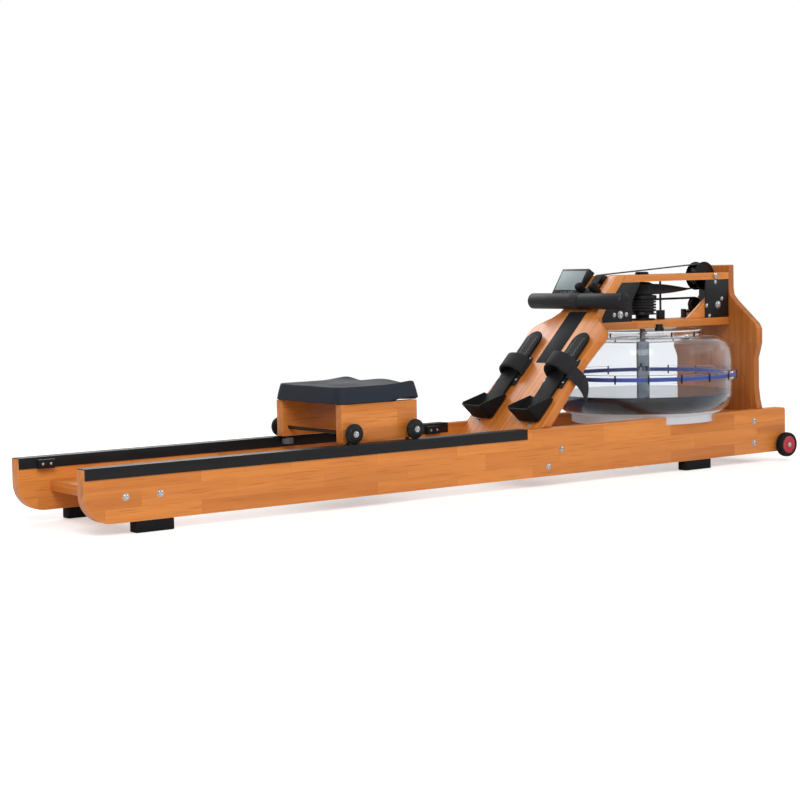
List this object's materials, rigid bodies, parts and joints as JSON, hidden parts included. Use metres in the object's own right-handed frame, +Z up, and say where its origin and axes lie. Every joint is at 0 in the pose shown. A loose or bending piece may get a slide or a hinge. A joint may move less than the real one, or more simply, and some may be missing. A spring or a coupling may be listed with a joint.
{
  "type": "water-resistance rowing machine",
  "caption": "Wooden rowing machine with a rolling foam seat, sloping footboard with strapped footrests, pull handle on a strap and a clear water tank with a paddle.",
  "frame": {"origin": "on the floor, under the middle of the machine's length and width", "axes": "+X from the rear end of the beams towards the tank, +Y to the rower's left, +Z up"},
  "size_m": [2.1024, 0.488, 0.535],
  "materials": {
    "wood": "satin lacquer",
    "black_plastic": "satin",
    "black_steel": "satin",
    "bright_steel": "bright",
    "rubber": "matte",
    "foam": "matte foam",
    "webbing": "woven",
    "clear_plastic": "clear",
    "water": "clear liquid",
    "blue_seal": "satin",
    "red_hub": "satin",
    "screen_glass": "gloss"
  },
  "bodies": {
    "frame": {"right_beam": "wood", "left_beam": "wood", "left_rail": "black_plastic", "right_rail": "black_plastic", "right_rear_foot": "rubber", "left_rear_foot": "rubber", "right_front_foot": "rubber", "left_front_foot": "rubber", "rear_cross_board": "wood", "footboard_cross_block": "wood", "front_cross_block": "wood", "footboard": "wood", "front_panel": "wood", "upper_deck": "wood", "lower_deck": "wood", "gusset": "wood", "rear_bracket": "black_steel", "front_bracket": "black_steel", "tank_lower_shell": "clear_plastic", "tank_upper_shell": "clear_plastic", "tank_seal_ring": "blue_seal", "water": "water", "filler_plug": "black_plastic", "lower_bearing": "black_plastic", "bearing_cap": "black_plastic", "tie_rod": "black_steel", "strap_pulley_axle": "bright_steel", "pull_strap": "webbing", "return_cord": "rubber", "right_handle_peg": "rubber", "left_handle_peg": "rubber", "console_housing": "black_plastic", "console_screen": "screen_glass", "right_footrest_plate": "black_plastic", "left_footrest_plate": "black_plastic", "right_foot_strap": "webbing", "left_foot_strap": "webbing"},
    "seat": {"left_seat_board": "wood", "right_seat_board": "wood", "seat_cushion": "foam"},
    "rear_wheelset": {"rear_seat_wheels": "rubber"},
    "front_wheelset": {"front_seat_wheels": "rubber"},
    "left_roller": {"left_side_roller": "black_plastic"},
    "right_roller": {"right_side_roller": "black_plastic"},
    "handle": {"handle_core": "bright_steel", "right_grip": "foam", "left_grip": "foam", "strap_lead": "webbing"},
    "drum_body": {"drum": "black_plastic"},
    "paddle": {"paddle_shaft": "clear_plastic"},
    "strap_pulley_body": {"strap_pulley": "black_plastic"},
    "guide_roller_body": {"guide_roller": "black_plastic"},
    "cord_pulley_body": {"cord_pulley": "black_plastic"},
    "right_heel": {"right_heel_rest": "black_plastic"},
    "left_heel": {"left_heel_rest": "black_plastic"},
    "right_transport": {"right_transport_wheel": "red_hub"},
    "left_transport": {"left_transport_wheel": "red_hub"},
    "button_1": {"console_button_1": "black_plastic"},
    "button_2": {"console_button_2": "black_plastic"},
    "button_3": {"console_button_3": "black_plastic"}
  },
  "joints": [
    {"name": "seat_slide", "type": "slide", "parent": "frame", "child": "seat", "axis": [1, 0, 0], "range_m": [-0.588, 0.234]},
    {"name": "rear_wheels_roll", "type": "hinge", "parent": "seat", "child": "rear_wheelset", "pos_m": [-0.36525, 0, 0.1666], "axis": [0, 1, 0], "continuous": true},
    {"name": "front_wheels_roll", "type": "hinge", "parent": "seat", "child": "front_wheelset", "pos_m": [-0.19325, 0, 0.1666], "axis": [0, 1, 0], "continuous": true},
    {"name": "left_roller_turn", "type": "hinge", "parent": "seat", "child": "left_roller", "pos_m": [-0.36325, 0.1259, 0.135], "axis": [0, 0, 1], "continuous": true},
    {"name": "right_roller_turn", "type": "hinge", "parent": "seat", "child": "right_roller", "pos_m": [-0.19525, -0.1259, 0.135], "axis": [0, 0, 1], "continuous": true},
    {"name": "handle_pull", "type": "slide", "parent": "frame", "child": "handle", "axis": [-1, 0, 0], "range_m": [0, 1.1]},
    {"name": "drum_turn", "type": "hinge", "parent": "frame", "child": "drum_body", "pos_m": [0.67375, 0, 0.44], "axis": [0, 0, 1], "continuous": true},
    {"name": "paddle_turn", "type": "hinge", "parent": "frame", "child": "paddle", "pos_m": [0.67375, 0, 0.3], "axis": [0, 0, 1], "continuous": true},
    {"name": "strap_pulley_turn", "type": "hinge", "parent": "frame", "child": "strap_pulley_body", "pos_m": [0.88775, 0, 0.497], "axis": [0, 1, 0], "continuous": true},
    {"name": "guide_roller_turn", "type": "hinge", "parent": "frame", "child": "guide_roller_body", "pos_m": [0.52985, 0, 0.49475], "axis": [0, 1, 0], "continuous": true},
    {"name": "cord_pulley_turn", "type": "hinge", "parent": "frame", "child": "cord_pulley_body", "pos_m": [0.89975, 0, 0.4192], "axis": [0, 1, 0], "continuous": true},
    {"name": "right_heel_slide", "type": "slide", "parent": "frame", "child": "right_heel", "axis": [0.6858, 0, 0.7278], "range_m": [-0.01, 0.048]},
    {"name": "left_heel_slide", "type": "slide", "parent": "frame", "child": "left_heel", "axis": [0.6858, 0, 0.7278], "range_m": [-0.01, 0.048]},
    {"name": "right_transport_turn", "type": "hinge", "parent": "frame", "child": "right_transport", "pos_m": [1.01875, -0.186, 0.0425], "axis": [0, 1, 0], "continuous": true},
    {"name": "left_transport_turn", "type": "hinge", "parent": "frame", "child": "left_transport", "pos_m": [1.01875, 0.186, 0.0425], "axis": [0, 1, 0], "continuous": true},
    {"name": "button_1_press", "type": "slide", "parent": "frame", "child": "button_1", "axis": [0.8443, 0, -0.5358], "range_m": [0, 0.0011], "stiffness_N_per_m": 500},
    {"name": "button_2_press", "type": "slide", "parent": "frame", "child": "button_2", "axis": [0.8443, 0, -0.5358], "range_m": [0, 0.0011], "stiffness_N_per_m": 500},
    {"name": "button_3_press", "type": "slide", "parent": "frame", "child": "button_3", "axis": [0.8443, 0, -0.5358], "range_m": [0, 0.0011], "stiffness_N_per_m": 500}
  ],
  "couplings": [
    {"joint": "rear_wheels_roll", "follows": "seat_slide", "rad_per_m": 43.478},
    {"joint": "front_wheels_roll", "follows": "seat_slide", "rad_per_m": 43.478},
    {"joint": "left_roller_turn", "follows": "seat_slide", "rad_per_m": 71.429},
    {"joint": "right_roller_turn", "follows": "seat_slide", "rad_per_m": -71.429},
    {"joint": "drum_turn", "follows": "handle_pull", "rad_per_m": 35.336},
    {"joint": "paddle_turn", "follows": "handle_pull", "rad_per_m": 35.336},
    {"joint": "strap_pulley_turn", "follows": "handle_pull", "rad_per_m": -30.96},
    {"joint": "guide_roller_turn", "follows": "handle_pull", "rad_per_m": -81.301},
    {"joint": "cord_pulley_turn", "follows": "handle_pull", "rad_per_m": -64.093}
  ]
}
